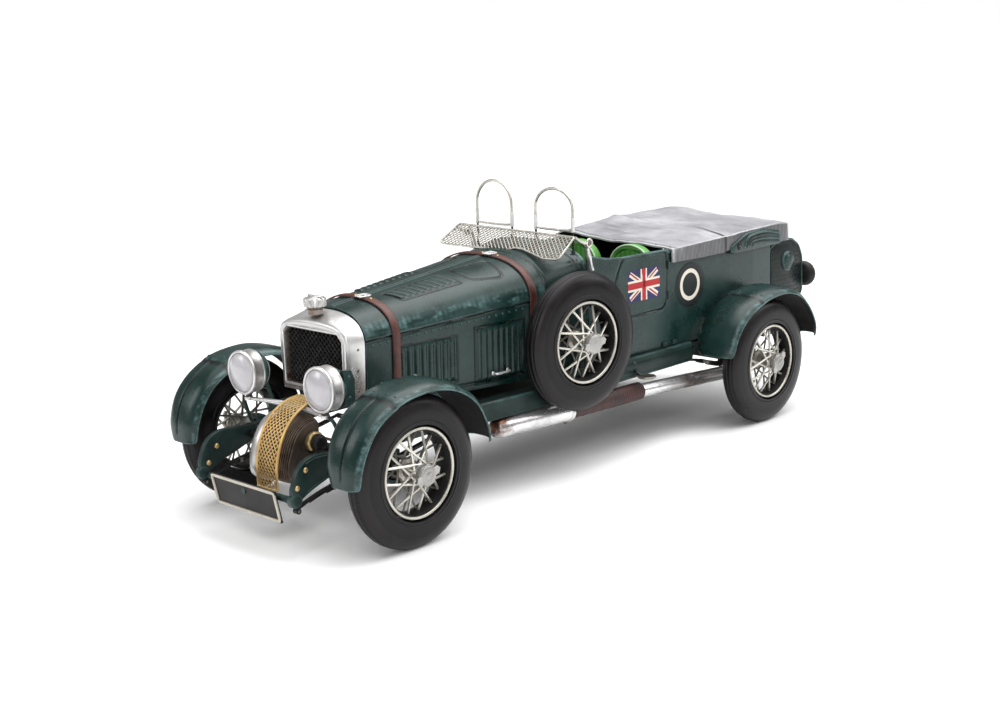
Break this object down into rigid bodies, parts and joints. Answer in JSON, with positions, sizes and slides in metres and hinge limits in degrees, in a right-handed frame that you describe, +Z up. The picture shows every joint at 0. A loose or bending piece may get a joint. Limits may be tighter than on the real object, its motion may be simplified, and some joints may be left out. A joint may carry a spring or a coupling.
{
  "type": "diecast collector car",
  "caption": "Scale model of a supercharged open tourer of about 1930 with rolling wire wheels, linked steering, a folding mesh windscreen and a side-mounted spare wheel.",
  "frame": {"origin": "on the floor under the middle of the model's bounding box", "axes": "+Z up, +Y towards the tail (the car faces -Y), +X towards the car's left side, which carries the spare wheel"},
  "size_m": [0.15, 0.412, 0.1493],
  "materials": {
    "body_paint": "satin dark bottle green with a black wash in the seams",
    "chassis_paint": "satin dark green, dirtier than the body",
    "black_parts": "satin black",
    "aged_silver": "dull silver with brown stains in the corners",
    "exhaust_metal": "polished silver with brown burnt stains and a dark red-brown wrap",
    "wire_metal": "warm silver wire",
    "guard_metal": "dull gold mesh",
    "tyre_rubber": "dusty brown-black with a soft sheen",
    "strap": "reddish brown with silver buckles",
    "seat_paint": "bright green with lighter piping",
    "cover_paint": "grey sheet with dark creases and seams",
    "lamp_lens": "clear domed lens over a silver reflector"
  },
  "bodies": {
    "chassis": {"bonnet": "body_paint", "scuttle": "body_paint", "tail_panel": "body_paint", "fender_front_left": "body_paint", "fender_front_right": "body_paint", "fender_rear_left": "body_paint", "fender_rear_right": "body_paint", "body_side_left": "body_paint", "body_side_right": "body_paint", "chassis_rail_left": "chassis_paint", "chassis_rail_right": "chassis_paint", "sill_left": "chassis_paint", "sill_right": "chassis_paint", "front_axle": "chassis_paint", "fuel_tank": "chassis_paint", "floor_pan": "black_parts", "front_spring_left": "black_parts", "front_spring_right": "black_parts", "rear_axle": "black_parts", "tail_lamp": "black_parts", "radiator_core": "black_parts", "number_plate": "black_parts", "radiator_shell": "aged_silver", "radiator_cap": "aged_silver", "headlamp_left": "aged_silver", "headlamp_right": "aged_silver", "lamp_bar": "aged_silver", "blower_casing": "aged_silver", "windscreen_post_left": "aged_silver", "windscreen_post_right": "aged_silver", "exhaust_pipe": "exhaust_metal", "spare_wire_wheel": "wire_metal", "aero_screen_left": "wire_metal", "aero_screen_right": "wire_metal", "blower_guard": "guard_metal", "spare_tyre": "tyre_rubber", "bonnet_strap_front": "strap", "bonnet_strap_rear": "strap", "seat_left": "seat_paint", "seat_right": "seat_paint", "tonneau_cover": "cover_paint", "headlamp_lens_left": "lamp_lens", "headlamp_lens_right": "lamp_lens"},
    "windscreen": {"windscreen_frame": "aged_silver"},
    "steering_wheel": {"steering_wheel": "black_parts"},
    "stub_axle_left": {"stub_axle_left": "black_parts"},
    "stub_axle_right": {"stub_axle_right": "black_parts"},
    "tie_rod": {"tie_rod": "black_parts"},
    "wheel_front_left": {"tyre_front_left": "tyre_rubber", "wire_wheel_front_left": "wire_metal", "hub_nut_front_left": "aged_silver"},
    "wheel_front_right": {"tyre_front_right": "tyre_rubber", "wire_wheel_front_right": "wire_metal", "hub_nut_front_right": "aged_silver"},
    "wheel_rear_left": {"tyre_rear_left": "tyre_rubber", "wire_wheel_rear_left": "wire_metal", "hub_nut_rear_left": "aged_silver"},
    "wheel_rear_right": {"tyre_rear_right": "tyre_rubber", "wire_wheel_rear_right": "wire_metal", "hub_nut_rear_right": "aged_silver"}
  },
  "joints": [
    {"name": "steer_left", "type": "hinge", "parent": "chassis", "child": "stub_axle_left", "pos_m": [0.052, -0.157, 0.0358], "axis": [0, 0, 1], "range_deg": [-10, 10]},
    {"name": "steer_right", "type": "hinge", "parent": "chassis", "child": "stub_axle_right", "pos_m": [-0.052, -0.157, 0.0358], "axis": [0, 0, 1], "range_deg": [-10, 10]},
    {"name": "tie_rod_slide", "type": "slide", "parent": "chassis", "child": "tie_rod", "axis": [-1, 0, 0], "range_m": [-0.00157, 0.00157]},
    {"name": "steering_column", "type": "hinge", "parent": "chassis", "child": "steering_wheel", "pos_m": [-0.019, 0.014, 0.097], "axis": [0, 0.8829, 0.4695], "range_deg": [-100, 100]},
    {"name": "windscreen_fold", "type": "hinge", "parent": "chassis", "child": "windscreen", "pos_m": [0, -0.011, 0.119], "axis": [-1, 0, 0], "range_deg": [0, 35]},
    {"name": "wheel_front_left_spin", "type": "hinge", "parent": "stub_axle_left", "child": "wheel_front_left", "pos_m": [0.063, -0.157, 0.0358], "axis": [1, 0, 0], "continuous": true},
    {"name": "wheel_front_right_spin", "type": "hinge", "parent": "stub_axle_right", "child": "wheel_front_right", "pos_m": [-0.063, -0.157, 0.0358], "axis": [1, 0, 0], "continuous": true},
    {"name": "wheel_rear_left_spin", "type": "hinge", "parent": "chassis", "child": "wheel_rear_left", "pos_m": [0.063, 0.119, 0.0358], "axis": [1, 0, 0], "continuous": true},
    {"name": "wheel_rear_right_spin", "type": "hinge", "parent": "chassis", "child": "wheel_rear_right", "pos_m": [-0.063, 0.119, 0.0358], "axis": [1, 0, 0], "continuous": true}
  ],
  "couplings": [
    {"joint": "steer_right", "follows": "steer_left", "ratio": 1},
    {"joint": "tie_rod_slide", "follows": "steer_left", "m_per_rad": 0.009},
    {"joint": "steering_column", "follows": "steer_left", "ratio": 10}
  ]
}
